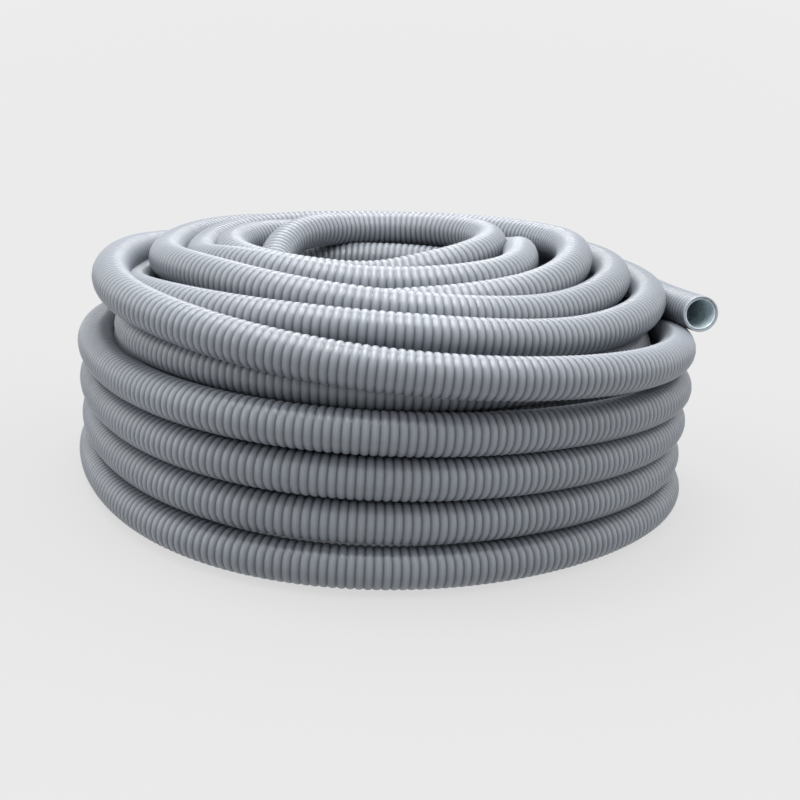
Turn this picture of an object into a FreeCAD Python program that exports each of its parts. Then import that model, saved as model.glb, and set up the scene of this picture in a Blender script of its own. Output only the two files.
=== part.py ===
import FreeCAD, Part
import math
import os

# A coil of liquidtight flexible conduit, lying flat as it comes from the shop.
# Millimetres, +Z up. The coil's axis is vertical. The model is built round that
# axis with the floor at z = 0, and is then shifted so that the origin is under
# the middle of the whole coil.

# The conduit's section: a wound steel strip inside a plastic jacket.
bore_diameter = 20.9
core_wall = 0.9
jacket_wall = 1.9
outside_diameter = bore_diameter + 2 * (core_wall + jacket_wall)

# The wound body of the coil: rows of level turns, one beside and on another,
# each bedded a little into the next.
outer_turn_radius = 218.6
bedding = 0.3
outer_rows = 4
layers = 5
turn_pitch = outside_diameter - bedding

# The loose turns lie on the wound body, this far clear of it.
seat_gap = 0.3

# The loose turns on top. Each pair is where the conduit passes the left or the
# right of the coil, left first: how many layers in from the outermost turn, and
# how many rows up from the lowest turn. It starts in the row above the wound
# body, crosses itself into the eye, works outwards, and dives under itself twice.
top_turn_sides = [
    (3.7, 5.0),
    (2.65, 5.0),
    (5.4, 5.05),
    (5.3, 6.25),
    (4.1, 6.1),
    (4.1, 6.15),
    (3.05, 5.95),
    (2.65, 6.1),
    (2.6, 4.95),
    (1.35, 5.6),
    (1.8, 6.05),
    (0.1, 5.3),
    (1.5, 4.9),
]

# The outermost loose turn, given the same way. It climbs from the top of the
# outermost layer, over the left side, to the free end at the right.
outer_turn_sides = [
    (-0.05, 4.0),
    (-0.6, 4.0),
    (0.35, 5.4),
    (-1.05, 5.15),
]

# The straight stretch at the free end.
straight_end = 60.0

tube_radius = outside_diameter / 2
core_radius = bore_diameter / 2 + core_wall


def groove_depth(a, b):
    """How far out two touching turns meet, measured from the line of their centres."""
    half_gap = math.hypot(b[0] - a[0], b[1] - a[1]) / 2
    return math.sqrt(tube_radius ** 2 - half_gap ** 2)


def wound_outline(centres):
    """The closed outline of a bundle of turns, given its outer turns anticlockwise."""
    count = len(centres)
    grooves = []
    for index in range(count):
        a = centres[index]
        b = centres[(index + 1) % count]
        length = math.hypot(b[0] - a[0], b[1] - a[1])
        depth = groove_depth(a, b)
        out_x = (b[1] - a[1]) / length
        out_z = (a[0] - b[0]) / length
        grooves.append(((a[0] + b[0]) / 2 + out_x * depth, (a[1] + b[1]) / 2 + out_z * depth))
    edges = []
    for index in range(count):
        centre = centres[index]
        start = grooves[index - 1]
        end = grooves[index]
        first = math.atan2(start[1] - centre[1], start[0] - centre[0])
        last = math.atan2(end[1] - centre[1], end[0] - centre[0])
        while last < first:
            last += 2 * math.pi
        middle = (first + last) / 2
        crest = (centre[0] + tube_radius * math.cos(middle), centre[1] + tube_radius * math.sin(middle))
        points = [FreeCAD.Vector(x, 0, z) for x, z in (start, crest, end)]
        edges.append(Part.Arc(*points).toShape())
    return Part.Wire(edges)


def layer_radius(layer):
    """The centre radius of a layer, counted from the outermost one as 0."""
    return outer_turn_radius - layer * turn_pitch


def row_height(row):
    """The centre height of a row, counted from the lowest one as 0."""
    return tube_radius + row * turn_pitch


def wound_body():
    """The level turns, as one turned solid with its bore and a step at its top edge."""
    last = layers - 1
    centres = [(layer_radius(layer), row_height(0)) for layer in range(last, 0, -1)]
    centres += [(layer_radius(0), row_height(row)) for row in range(outer_rows)]
    centres.append((layer_radius(1), row_height(outer_rows - 1)))
    centres += [(layer_radius(layer), row_height(outer_rows)) for layer in range(1, layers)]
    centres += [(layer_radius(last), row_height(row)) for row in range(outer_rows - 1, 0, -1)]
    face = Part.Face(wound_outline(centres))
    return face.revolve(FreeCAD.Vector(0, 0, 0), FreeCAD.Vector(0, 0, 1), 360)


def half_turn(start, end, side):
    """A half circle between two points beside the coil, by the front (-1) or the back (1)."""
    middle = (start + end) / 2
    reach = (end - start).Length / 2
    crest = middle + FreeCAD.Vector(0, side * reach, 0)
    return Part.Arc(start, crest, end).toShape()


def loose_points(sides):
    """Where a loose turn passes the sides of the coil, left and right in turn."""
    points = []
    side = -1
    for layers_in, rows_up in sides:
        height = row_height(rows_up) + bedding + seat_gap
        points.append(FreeCAD.Vector(side * layer_radius(layers_in), 0, height))
        side = -side
    return points


def half_turns(sides):
    """Half turns joining the side points one after another, back and front in turn."""
    points = loose_points(sides)
    edges = []
    by = 1
    for start, end in zip(points, points[1:]):
        edges.append(half_turn(start, end, by))
        by = -by
    return edges


def tube(edges, radius):
    """A round bar along a path that starts along Y."""
    path = Part.Wire(edges)
    start = edges[0].firstVertex().Point
    tangent = edges[0].tangentAt(edges[0].FirstParameter)
    circle = Part.Wire(Part.Circle(start, tangent, radius).toShape())
    return path.makePipeShell([circle], True, False)


def straight_ring(outer, inner):
    """A round ring in section, as long as the straight stretch."""
    start = loose_points(outer_turn_sides)[-1]
    forwards = FreeCAD.Vector(0, -1, 0)
    bar = Part.makeCylinder(outer, straight_end, start, forwards)
    return bar.cut(Part.makeCylinder(inner, straight_end, start, forwards)).Solids[0]


def free_end():
    """The jacket of the straight stretch, with room for the steel core."""
    return straight_ring(tube_radius, core_radius)


def steel_core():
    """The wound steel strip that lines the jacket, flush with the cut."""
    return straight_ring(core_radius, bore_diameter / 2)


def shift_to_middle(shapes):
    """Moves the pieces together so that the origin is under the middle of their box."""
    box = Part.makeCompound(list(shapes.values())).optimalBoundingBox(False, False)
    for shape in shapes.values():
        shape.translate(FreeCAD.Vector(-box.Center.x, -box.Center.y, -box.ZMin))
    return box


def main():
    loose_turns = {"top_turns": half_turns(top_turn_sides), "outer_turn": half_turns(outer_turn_sides)}
    shapes = {"wound_body": wound_body()}
    for name, edges in loose_turns.items():
        shapes[name] = tube(edges, tube_radius)
        length = sum(edge.Length for edge in edges)
        print(name, "radii", [round(edge.Curve.Radius, 1) for edge in edges])
        print(name, "volume over section times length", shapes[name].Volume / (math.pi * tube_radius ** 2 * length))
    shapes["free_end"] = free_end()
    shapes["steel_core"] = steel_core()
    for name, shape in shapes.items():
        print(name, shape.ShapeType, shape.isValid(), round(shape.Volume), len(shape.Faces))
    box = shift_to_middle(shapes)
    print("box", round(box.XLength, 2), round(box.YLength, 2), round(box.ZLength, 2), "shift", box.Center)
    os.makedirs("parts", exist_ok=True)
    for name, shape in shapes.items():
        shape.exportStep("parts/" + name + ".step")


main()
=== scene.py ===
import math

import bpy
import numpy as np
from mathutils import Matrix, Vector


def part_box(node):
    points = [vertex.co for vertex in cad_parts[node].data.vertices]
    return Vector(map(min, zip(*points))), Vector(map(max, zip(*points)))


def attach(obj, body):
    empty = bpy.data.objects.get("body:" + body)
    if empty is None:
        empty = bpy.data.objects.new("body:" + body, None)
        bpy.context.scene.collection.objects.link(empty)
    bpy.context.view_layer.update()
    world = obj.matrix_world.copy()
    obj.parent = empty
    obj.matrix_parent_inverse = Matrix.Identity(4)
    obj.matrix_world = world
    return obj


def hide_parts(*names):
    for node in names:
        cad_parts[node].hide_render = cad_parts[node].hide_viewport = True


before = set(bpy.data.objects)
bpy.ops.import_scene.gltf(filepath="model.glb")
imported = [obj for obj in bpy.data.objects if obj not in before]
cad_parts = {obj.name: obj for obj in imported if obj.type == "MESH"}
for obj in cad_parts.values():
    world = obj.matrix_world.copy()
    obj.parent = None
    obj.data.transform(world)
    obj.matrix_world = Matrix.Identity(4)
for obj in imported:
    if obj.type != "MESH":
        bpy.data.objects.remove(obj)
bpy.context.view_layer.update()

# The coil is drawn as one tube along one spline, from its inner end in the eye to its
# free end. A plain skin runs the whole length, and ribs lie over it where they are seen.

# The conduit, in metres.
diameter = 0.0265
groove_depth = 0.001
rib_pitch = 0.0051

# One pitch of the ribs: how far along it a ring of the skin lies, and how far up the rib, which also sets
# how much painted groove shade the ring takes.
rib_shape = [(0, 0), (0.2, 0.7), (0.5, 1), (0.8, 0.7)]
rib_sides = 20

# The plain skin lies just under the grooves of the ribs, and there it takes the full painted groove shade.
# Where no ribs are modelled, it has the full size and nearly the colour of the crests, with a little
# painted groove shade mixed in.
root_sides = 16
root_step = 0.008
skin_clearance = 0.0003
plain_crest = 0.7

# The cut edge of the jacket: depths behind the cut, and radii.
rim_length = 0.0015
rim_profile = [
    (rim_length, 0.0124), (rim_length, 0.013), (0.0003, 0.013), (0, 0.0128),
    (0, 0.0119), (0.0003, 0.0117), (0.004, 0.0117),
]
end_sides = 32

# The steel strip that lines the jacket. Its front edge lies a little behind the cut, and
# its outside is drawn only from there to a short lap. The seam between two turns of the
# strip is a groove that takes the last rings of each pitch.
lining_outside = 0.0227
lining_bore = 0.0209
lining_front = 0.001
lining_lap = 0.006
lining_depth = 0.2
strip_pitch = 0.0036
rings_a_strip = 8
seam_start = 5
seam_depth = 0.0006

# The grooves between the ribs are painted darker than the crests: this is painted shade in the grooves,
# not a colour of the plastic.
groove_shade_colour = (0.06, 0.066, 0.075, 1)
crest_colour = (0.205, 0.225, 0.257, 1)
rim_colour = (0.3, 0.33, 0.36, 1)
dark_steel = (0.5, 0.6, 0.64, 1)
light_steel = (0.7, 0.8, 0.84, 1)
floor_colour = (0.12, 0.12, 0.12, 1)

# The studio. The glow makes the floor as pale as the backdrop, with soft shadows on it.
floor_size = 40
floor_glow = 5.19
backdrop = 0.83
overhead_light = 0.9
side_light = 2.2
side_shift = 0.05
front_shade = 0.5
full_height = 0.25
sun_strength = 0.9
sun_spread = math.radians(28)
sun_tilt = (math.radians(-8), math.radians(-6), 0)
lamp_target = Vector((0, 0, 0.12))

# The camera, in conduit diameters from the foot of the coil's axis.
camera_stand = (0, -30.19, 10.61)
camera_target = (0.9, 0, 2.153)
camera_roll = math.radians(3.56)
camera_lens = 48.23

# The coil, in conduit diameters. It is wound clockwise as seen from above. Eight
# places make one turn: right, front right, front, front left, left, back left,
# back and back right. A place is a distance from the coil's axis and a height. The
# first place is the back one. Some points are cut off at the end of the last place, so
# that the free end is cut where the photo has it.
eighth = math.pi / 4
first_place = 6
points_a_place = 4
points_cut_off = 2

# The level turns: four layers from the eye outwards, and the four rows outside them.
# Seven level places and a step to the next row make one turn of a layer.
layer_radii = [4.2, 5.15, 6.1, 7.1]
outer_radii = [8.1, 8.0, 8.05, 8.1]
rows = 5
row_pitch = 1.0
lowest_row = 0.535
front_lift = 0.05
left_lift = 0.035
level_places = 7

# How far the outer turns lie outside a circle, as waves round the coil that are weaker
# behind it. A layer takes all of that at the outside, and a small share near the eye.
oval = (0.13, -0.44)
three_sided = (0.34, 0.24)
rounder_behind = 0.7
share_start = 4.5
share_width = 3
least_share = 0.2

# The loose turns on top cross one another, so their places are set one by one. Each list
# starts at the left and goes behind the coil first, and the last two start at the back.
sunken_turn = [
    (5.9, 4.7), (4.8, 5.4), (3.5, 5.75), (3.8, 5.75),
    (4.6, 5.5), (4.35, 5.5), (3.6, 5.5), (3.2, 5.15),
]
eye_turn = [
    (2.9, 5.8), (3.35, 6.5), (4.2, 6.6), (4.1, 6.75),
    (2.95, 6.6), (2.15, 6.3), (2.0, 6.0), (2.7, 6.0),
]
inner_loose_turn = [
    (4.05, 6.15), (4.65, 6.3), (5.0, 6.1), (4.85, 6.15),
    (4.0, 6.6), (4.35, 6.4), (4.35, 6.2), (4.45, 6.3),
]
high_turn = [
    (4.9, 6.0), (5.7, 6.3), (5.95, 6.5), (5.75, 6.7),
    (5.5, 6.75), (5.4, 6.2), (5.2, 5.8), (5.15, 5.5),
]
diving_turn = [
    (5.55, 5.35), (6.0, 5.4), (6.5, 5.7), (6.85, 6.2),
    (6.65, 6.25), (6.15, 5.8), (6.2, 6.0), (5.75, 6.2),
]
wide_turn = [
    (5.85, 6.05), (6.7, 6.2), (7.35, 6.15), (7.95, 5.9),
    (7.7, 5.75), (7.1, 5.4), (7.05, 5.65), (6.8, 5.6),
]
tucked_turn = [
    (6.6, 5.2), (7.1, 5.2), (7.3, 5.0), (7.4, 4.7),
    (7.3, 4.5), (7.3, 4.5), (7.5, 4.45), (7.1, 4.5),
    (6.5, 4.5), (6.8, 4.3), (7.1, 4.0), (7.1, 3.8),
]
outer_loose_turn = [
    (8.1, 4.3), (8.4, 4.4), (8.45, 4.55), (8.45, 4.8),
    (8.2, 5.1), (7.65, 5.6), (7.15, 5.85), (8.1, 5.6),
]
last_stretch = [(8.5, 5.4), (8.9, 5.5), (8.6, 5.4), (10.5, 6.0)]

# The ribs of the outer rows start this many places before the rows do, because the climb
# to the lowest of them is seen too.
climb_places = 3


def out_of_round(angle):
    """How far the outer turns lie outside a circle, in conduit diameters."""
    swell = oval[0] * math.cos(2 * angle) + oval[1] * math.sin(2 * angle)
    swell += three_sided[0] * math.cos(3 * angle) + three_sided[1] * math.sin(3 * angle)
    return swell * (1 - rounder_behind * max(0, math.sin(angle)))


def place_angle(index):
    """The angle of a place, counted from the first one, which is at the back."""
    return -eighth * (index + first_place)


def wind_layer(places, radii, wound_rows, first, last):
    """Adds level turns, one row after another, with a step after each row.

    The first and the last row have a number of level places of their own, so that a
    layer starts and ends at the side where its neighbours do."""
    for radius, row in zip(radii, wound_rows):
        share = min(1, max(least_share, (radius - share_start) / share_width))
        count = level_places
        if row == wound_rows[0]:
            count = first
        elif row == wound_rows[-1]:
            count = last
        for _ in range(count):
            angle = place_angle(len(places))
            tilt = front_lift * math.sin(angle) + left_lift * math.cos(angle)
            places.append((radius, lowest_row + row * (row_pitch - tilt), share))
        places.append(None)


def lay_loosely(places, turns):
    """Adds loose turns, which take no share of the outer turns' shape."""
    for turn in turns:
        places.extend((radius, height, 0) for radius, height in turn)


def coil_places():
    """All the places, with their share of the outer shape, and where each stretch starts."""
    up = list(range(rows))
    down = up[::-1]
    starts = {"eye wall": 0}
    places = []
    wind_layer(places, [layer_radii[0]] * rows, up, level_places, 5)
    starts["hidden layers"] = len(places)
    wind_layer(places, [layer_radii[1]] * rows, down, 5, 5)
    wind_layer(places, [layer_radii[2]] * rows, up, 5, 5)
    starts["inner loose turns"] = len(places)
    lay_loosely(places, [sunken_turn, eye_turn, inner_loose_turn, high_turn])
    starts["wide loose turns"] = len(places)
    lay_loosely(places, [diving_turn, wide_turn, tucked_turn])
    starts["covered layer"] = len(places)
    wind_layer(places, [layer_radii[3]] * (rows - 1), down[1:], 5, 1)
    starts["outer rows"] = len(places)
    wind_layer(places, outer_radii, up[:-1], 5, level_places)
    starts["outer loose turn"] = len(places)
    lay_loosely(places, [outer_loose_turn, last_stretch])

    # A step lies halfway between the two places beside it.
    for index, place in enumerate(places):
        if place is None:
            before, after = places[index - 1], places[index + 1]
            places[index] = tuple((a + b) / 2 for a, b in zip(before, after))
    return places, starts


def smooth(before, start, end, after, step):
    """A smooth value between start and end, given the values on both sides of them."""
    first_slope = (end - before) / 2
    last_slope = (after - start) / 2
    cubic = 2 * start - 2 * end + first_slope + last_slope
    square = 3 * end - 3 * start - 2 * first_slope - last_slope
    return start + step * (first_slope + step * (square + step * cubic))


def coil_points(places):
    """The spline's control points, a few for each place.

    The line passes each point at three quarters of it and an eighth of both its
    neighbours, so the points are set out from the axis by what that takes away."""
    outwards = 1 / (0.75 + 0.25 * math.cos(eighth / points_a_place))
    last = len(places) - 1
    points = []
    for index in range(last):
        near = [places[min(max(index + offset, 0), last)] for offset in (-1, 0, 1, 2)]
        for part in range(points_a_place):
            step = part / points_a_place
            angle = place_angle(index + step)
            radius, height, share = [smooth(*values, step) for values in zip(*near)]
            radius = (radius + share * out_of_round(angle)) * outwards
            points.append((radius * math.cos(angle), radius * math.sin(angle), height))
    return points[:-points_cut_off]


def draw_spline(points):
    """The conduit's own spline, from control points in diameters from the coil's axis."""
    curve_data = bpy.data.curves.new("conduit line", "CURVE")
    curve_data.dimensions = "3D"
    curve_data.resolution_u = 4
    spline = curve_data.splines.new("NURBS")
    spline.points.add(len(points) - 1)
    for point, (x, y, z) in zip(spline.points, points):
        point.co = (axis_x + x * diameter, axis_y + y * diameter, z * diameter, 1)
    spline.order_u = 3
    spline.use_endpoint_u = True
    curve = bpy.data.objects.new("conduit line", curve_data)
    bpy.context.collection.objects.link(curve)
    return curve


def unit(vectors):
    """The same directions, each of length one."""
    return vectors / np.linalg.norm(vectors, axis=1)[:, None]


class Line:
    """The middle line of the conduit, read from its spline, with the distance along it."""

    def __init__(self, curve):
        mesh = bpy.data.meshes.new_from_object(curve)
        flat = np.empty(len(mesh.vertices) * 3)
        mesh.vertices.foreach_get("co", flat)
        bpy.data.meshes.remove(mesh)
        self.points = flat.reshape(-1, 3)
        self.forwards = unit(np.gradient(self.points, axis=0))
        steps = np.linalg.norm(np.diff(self.points, axis=0), axis=1)
        self.along = np.concatenate(([0.0], np.cumsum(steps)))
        self.length = float(self.along[-1])
        self.spans = len(curve.data.splines[0].points) - 1

    def at_place(self, index):
        """The distance along the line where it passes a place."""
        share = index * points_a_place / self.spans
        return float(np.interp(share * (len(self.along) - 1), np.arange(len(self.along)), self.along))

    def read(self, values, distances):
        """Values of the line's points, at some distances along it."""
        columns = [np.interp(distances, self.along, values[:, axis]) for axis in range(3)]
        return np.stack(columns, axis=1)

    def rings(self, distances):
        """Middles and the two cross directions of rings at some distances along the line."""
        ahead = unit(self.read(self.forwards, distances))
        aside = unit(np.cross(ahead, (0, 0, 1)))
        return self.read(self.points, distances), aside, np.cross(aside, ahead)


def skin(name, corners, quads, uv, crests, material):
    """A smooth mesh object of four-sided faces that rides on the coil."""
    mesh = bpy.data.meshes.new(name)
    mesh.vertices.add(len(corners))
    mesh.vertices.foreach_set("co", corners.ravel())
    mesh.loops.add(quads.size)
    mesh.loops.foreach_set("vertex_index", quads.ravel())
    mesh.polygons.add(len(quads))
    mesh.polygons.foreach_set("loop_start", np.arange(0, quads.size, 4))
    mesh.update(calc_edges=True)
    mesh.uv_layers.new(name="along").data.foreach_set("uv", uv)
    mesh.attributes.new("crest", "FLOAT", "POINT").data.foreach_set("value", crests)
    mesh.polygons.foreach_set("use_smooth", np.ones(len(quads), dtype=bool))
    mesh.materials.append(material)
    thing = bpy.data.objects.new(name, mesh)
    bpy.context.collection.objects.link(thing)
    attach(thing, "root")
    return thing


def tube(name, distances, radii, crests, sides, material):
    """A round skin along the line, with one radius for each ring or for each corner.

    Its UV map holds metres along and the share of the way round."""
    rings = len(distances)
    middles, aside, upwards = line.rings(distances)
    turn = np.arange(sides) * 2 * math.pi / sides
    out = aside[:, None] * np.cos(turn)[:, None] + upwards[:, None] * np.sin(turn)[:, None]
    corners = middles[:, None] + out * radii.reshape(rings, -1, 1)
    ring = np.arange(rings - 1)[:, None] * sides
    here = np.arange(sides)[None]
    after = (here + 1) % sides
    quads = np.stack([ring + here, ring + after, ring + sides + after, ring + sides + here], axis=2)
    along = np.broadcast_to(distances[:-1, None], quads.shape[:2])
    beyond = np.broadcast_to(distances[1:, None], quads.shape[:2])
    left = np.broadcast_to(here / sides, quads.shape[:2])
    right = left + 1 / sides
    uv = np.stack([along, left, along, right, beyond, right, beyond, left], axis=2).reshape(-1)
    corner_crests = np.repeat(crests, sides)
    return skin(name, corners.reshape(-1, 3), quads.reshape(-1, 4), uv, corner_crests, material)


def ribs(name, start, end, material):
    """The jacket's ribs between two places of the coil, in whole pitches up to the cut."""
    first, last = [math.ceil(line.at_place(index) / rib_pitch) for index in (start, end)]
    offsets, heights = np.array(rib_shape).T
    distances = ((np.arange(first, last)[:, None] + offsets) * rib_pitch).ravel()
    distances = np.append(distances, last * rib_pitch)
    crests = np.append(np.tile(heights, last - first), 0)
    kept = distances < line.length - rim_length
    distances, crests = distances[kept], crests[kept]
    radii = diameter / 2 - groove_depth * (1 - crests)
    return tube(name, distances, radii, crests, rib_sides, material)


def plain_skin(stretches, material):
    """The skin of the whole length, thinner under the stretches with ribs, and its middle line."""
    distances = np.linspace(0, line.length, round(line.length / root_step))
    radii = np.full(len(distances), diameter / 2)
    crests = np.full(len(distances), plain_crest)
    for first, last in stretches:
        under = (distances >= line.at_place(first)) & (distances <= line.at_place(last) + rib_pitch)
        # Under the ribs the skin takes the full painted groove shade colour.
        radii[under] = diameter / 2 - groove_depth - skin_clearance
        crests[under] = 0
    path = line.rings(distances)[0].tolist()
    return tube("conduit", distances, radii, crests, root_sides, material), path


def end_pieces(name, end, inwards):
    """The cut edge of the jacket and the wound steel strip inside it, at one end of the line.

    Inwards is 1 at the start of the line and -1 at its end."""
    profile = np.array(rim_profile)[::inwards]
    distances = end + inwards * profile[:, 0]
    rim = tube(name + "_rim", distances, profile[:, 1], np.ones(len(profile)), end_sides, cut_jacket)
    depths = np.arange(lining_front, lining_depth, strip_pitch / rings_a_strip)
    depths = np.concatenate(([lining_lap, lining_front], depths))[::inwards]
    turns = np.arange(end_sides) / end_sides
    phase = (depths[:, None] / strip_pitch + turns[None]) % 1 * rings_a_strip
    seam = np.clip(phase - seam_start, 0, 1) * np.clip(rings_a_strip - phase, 0, 1)
    radii = lining_bore / 2 + seam_depth * seam
    outside = slice(0, 2) if inwards > 0 else slice(-2, None)
    radii[outside] = lining_outside / 2
    distances = end + inwards * depths
    lining = tube(name + "_lining", distances, radii, np.ones(len(depths)), end_sides, steel)
    return rim, lining


def shader(name):
    """A new material with its main shader, a short way to add a linked node, and its links."""
    material = bpy.data.materials.new(name)
    material.use_nodes = True
    nodes, links = material.node_tree.nodes, material.node_tree.links

    def add(kind, values=None, inputs=None, **settings):
        node = nodes.new(kind)
        for key, value in settings.items():
            setattr(node, key, value)
        for key, value in (values or {}).items():
            node.inputs[key].default_value = value
        for key, socket in (inputs or {}).items():
            links.new(socket, node.inputs[key])
        return node

    return material, nodes["Principled BSDF"], add, links


def jacket_material(name, rib_bump):
    """Grey plastic with painted shade in the grooves, and faint scuffs. The rib bump is for the plain
    skin.
    """
    material, main, add, links = shader(name)
    crest = add("ShaderNodeAttribute", attribute_name="crest")
    place = add("ShaderNodeTexCoord")
    patches = add("ShaderNodeTexNoise", {"Scale": 9, "Detail": 4}, {"Vector": place.outputs["Object"]})
    scuffs = add("ShaderNodeTexNoise", {"Scale": 160, "Detail": 5}, {"Vector": place.outputs["Object"]})
    # The colour runs from the crest colour down to the painted groove shade, following the crest value of
    # each ring.
    grey = add("ShaderNodeMix", {"A": groove_shade_colour, "B": crest_colour}, {"Factor": crest.outputs["Fac"]},
               data_type="RGBA")
    shade = add("ShaderNodeMapRange", {"From Min": 0.3, "From Max": 0.7, "To Min": 0.9, "To Max": 1.06},
                {"Value": patches.outputs["Fac"]})
    tint = add("ShaderNodeHueSaturation", {},
               {"Value": shade.outputs["Result"], "Color": grey.outputs["Result"]})
    links.new(tint.outputs["Color"], main.inputs["Base Color"])
    rough = add("ShaderNodeMapRange", {"From Min": 0.35, "From Max": 0.65, "To Min": 0.32, "To Max": 0.46},
                {"Value": scuffs.outputs["Fac"]})
    links.new(rough.outputs["Result"], main.inputs["Roughness"])
    bump = add("ShaderNodeBump", {"Strength": 0.25, "Distance": 0.0002}, {"Height": scuffs.outputs["Fac"]})
    if rib_bump:
        uv = add("ShaderNodeUVMap", uv_map="along")
        parts = add("ShaderNodeSeparateXYZ", {}, {"Vector": uv.outputs["UV"]})
        turn = add("ShaderNodeMath", {1: 2 * math.pi / rib_pitch}, {0: parts.outputs["X"]},
                   operation="MULTIPLY")
        wave = add("ShaderNodeMath", {}, {0: turn.outputs["Value"]}, operation="COSINE")
        bump = add("ShaderNodeBump", {"Strength": 1, "Distance": groove_depth / 2},
                   {"Height": wave.outputs["Value"], "Normal": bump.outputs["Normal"]}, invert=True)
    links.new(bump.outputs["Normal"], main.inputs["Normal"])
    return material


def steel_material():
    """Bright galvanised strip with a fine spangle."""
    material, main, add, links = shader("galvanised steel")
    main.inputs["Metallic"].default_value = 0.3
    main.inputs["Roughness"].default_value = 0.34
    place = add("ShaderNodeTexCoord")
    spangle = add("ShaderNodeTexVoronoi", {"Scale": 260}, {"Vector": place.outputs["Object"]})
    grey = add("ShaderNodeMix", {"A": dark_steel, "B": light_steel},
               {"Factor": spangle.outputs["Distance"]}, data_type="RGBA")
    links.new(grey.outputs["Result"], main.inputs["Base Color"])
    return material


def plain_material(name, colour, roughness, glow=0):
    """One colour with a slightly uneven roughness, and a glow of its own if one is given."""
    material, main, add, links = shader(name)
    place = add("ShaderNodeTexCoord")
    noise = add("ShaderNodeTexNoise", {"Scale": 30}, {"Vector": place.outputs["Object"]})
    spread = add("ShaderNodeMapRange", {"To Min": roughness - 0.05, "To Max": roughness + 0.05},
                 {"Value": noise.outputs["Fac"]})
    links.new(spread.outputs["Result"], main.inputs["Roughness"])
    main.inputs["Base Color"].default_value = colour
    main.inputs["Emission Color"].default_value = colour
    main.inputs["Emission Strength"].default_value = glow
    return material


def studio_light(tree):
    """Even white light, brighter overhead and at the sides and weaker in front.

    All of that fades out towards the horizon, which has the same brightness all round."""

    def step(operation, first, second):
        node = tree.nodes.new("ShaderNodeMath")
        node.operation = operation
        for socket, value in zip(node.inputs, (first, second)):
            if isinstance(value, (int, float)):
                socket.default_value = value
            else:
                tree.links.new(value, socket)
        return node.outputs["Value"]

    direction = tree.nodes.new("ShaderNodeTexCoord")
    parts = tree.nodes.new("ShaderNodeSeparateXYZ")
    tree.links.new(direction.outputs["Generated"], parts.inputs["Vector"])
    east, north, up = [parts.outputs[axis] for axis in "XYZ"]
    height = step("MAXIMUM", up, 0)
    high = step("MULTIPLY", height, height)
    above = step("MULTIPLY", high, step("MULTIPLY", step("ADD", north, 1), overhead_light))
    side = step("SUBTRACT", east, side_shift)
    sides = step("MULTIPLY", step("POWER", side, 4), side_light)
    front = step("MULTIPLY", step("MINIMUM", north, 0), front_shade)
    change = step("ADD", step("ADD", above, sides), front)
    share = step("MINIMUM", step("DIVIDE", height, full_height), 1)
    strength = step("ADD", step("MULTIPLY", change, share), backdrop)
    background = tree.nodes["Background"]
    tree.links.new(strength, background.inputs["Strength"])
    background.inputs["Color"].default_value = (1, 1, 1, 1)


def top_light():
    """A wide, weak sun nearly overhead."""
    sun = bpy.data.lights.new("top light", "SUN")
    sun.energy = sun_strength
    sun.angle = sun_spread
    sun_object = bpy.data.objects.new("top light", sun)
    sun_object.rotation_euler = sun_tilt
    bpy.context.collection.objects.link(sun_object)


def soft_box(name, place, size, power):
    """A square lamp that faces the coil, in metres and watts."""
    lamp = bpy.data.lights.new(name, "AREA")
    lamp.size = size
    lamp.energy = power
    box = bpy.data.objects.new(name, lamp)
    box.location = place
    box.rotation_euler = (lamp_target - Vector(place)).to_track_quat("-Z", "Y").to_euler()
    box.light_linking.receiver_collection = lit
    bpy.context.collection.objects.link(box)


def stand_camera():
    """The camera, in front of the coil and looking a little down on it, rolled a little."""
    data = bpy.data.cameras.new("camera")
    data.lens = camera_lens
    camera = bpy.data.objects.new("camera", data)
    bpy.context.collection.objects.link(camera)
    stand = Vector(camera_stand) * diameter
    ahead = (Vector(camera_target) * diameter - stand).normalized()
    level_right = ahead.cross(Vector((0, 0, 1))).normalized()
    level_up = level_right.cross(ahead)
    right = math.cos(camera_roll) * level_right + math.sin(camera_roll) * level_up
    turned_up = math.cos(camera_roll) * level_up - math.sin(camera_roll) * level_right
    axes = Matrix((right, turned_up, -ahead)).transposed().to_4x4()
    camera.matrix_world = Matrix.Translation(stand + Vector((axis_x, axis_y, 0))) @ axes
    return camera


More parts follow.
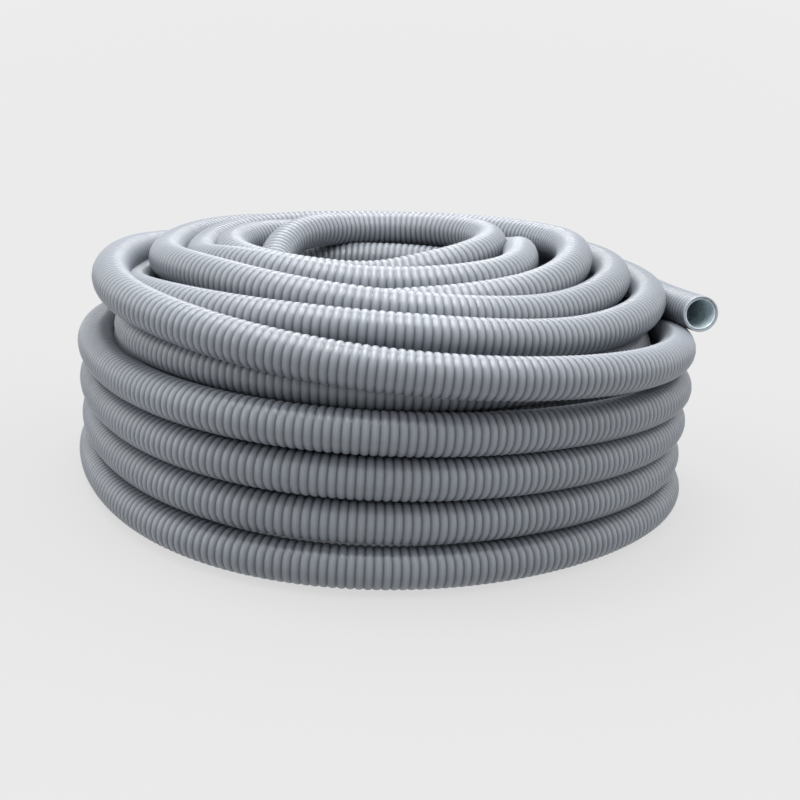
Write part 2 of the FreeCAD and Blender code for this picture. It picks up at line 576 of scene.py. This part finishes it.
# The coil's axis stands where the turned body stands.
body_low, body_high = [Vector(corner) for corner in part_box("wound_body")]
axis_x = (body_low.x + body_high.x) / 2
axis_y = (body_low.y + body_high.y) / 2

places, starts = coil_places()
curve = draw_spline(coil_points(places))
line = Line(curve)
bpy.data.objects.remove(curve)

jacket = jacket_material("ribbed grey jacket", False)
hidden_jacket = jacket_material("ribbed grey jacket, plain skin", True)
cut_jacket = plain_material("cut jacket", rim_colour, 0.6)
steel = steel_material()

# The stretches of the coil that can be seen have modelled ribs, from place to place.
rib_stretches = {
    "eye_wall_ribs": (starts["eye wall"], starts["hidden layers"]),
    "inner_loose_ribs": (starts["inner loose turns"], starts["wide loose turns"]),
    "wide_loose_ribs": (starts["wide loose turns"], starts["covered layer"]),
    "outer_row_ribs": (starts["outer rows"] - climb_places, starts["outer loose turn"]),
    "outer_loose_ribs": (starts["outer loose turn"], len(places)),
}
conduit, path = plain_skin(rib_stretches.values(), hidden_jacket)
on_it = [ribs(name, first, last, jacket) for name, (first, last) in rib_stretches.items()]
free_rim, free_lining = end_pieces("free_end", line.length, -1)
inner_rim, inner_lining = end_pieces("inner_end", 0, 1)
on_it += [free_rim, free_lining, inner_rim, inner_lining]
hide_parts("wound_body", "top_turns", "outer_turn", "free_end")
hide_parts("steel_core")

bpy.ops.mesh.primitive_plane_add(size=floor_size, location=(0, 0, 0))
floor = bpy.context.object
floor.name = "floor"
pale = plain_material("pale floor", floor_colour, 0.9, floor_glow)
pale.node_tree.nodes["Principled BSDF"].inputs["Specular IOR Level"].default_value = 0
floor.data.materials.append(pale)

scene = bpy.context.scene
scene.view_settings.view_transform = "Standard"
scene.world = bpy.data.worlds.new("studio")
scene.world.use_nodes = True
studio_light(scene.world.node_tree)
top_light()

# The two lamps light the coil only, so that they make no bright patch on the floor.
lit = bpy.data.collections.new("lit by the lamps")
for thing in [conduit] + on_it:
    lit.objects.link(thing)
soft_box("front light", place=(0, -0.2, 0.6), size=0.35, power=3)
soft_box("back light", place=(0, 0.6, 0.75), size=0.45, power=3)
scene.camera = stand_camera()
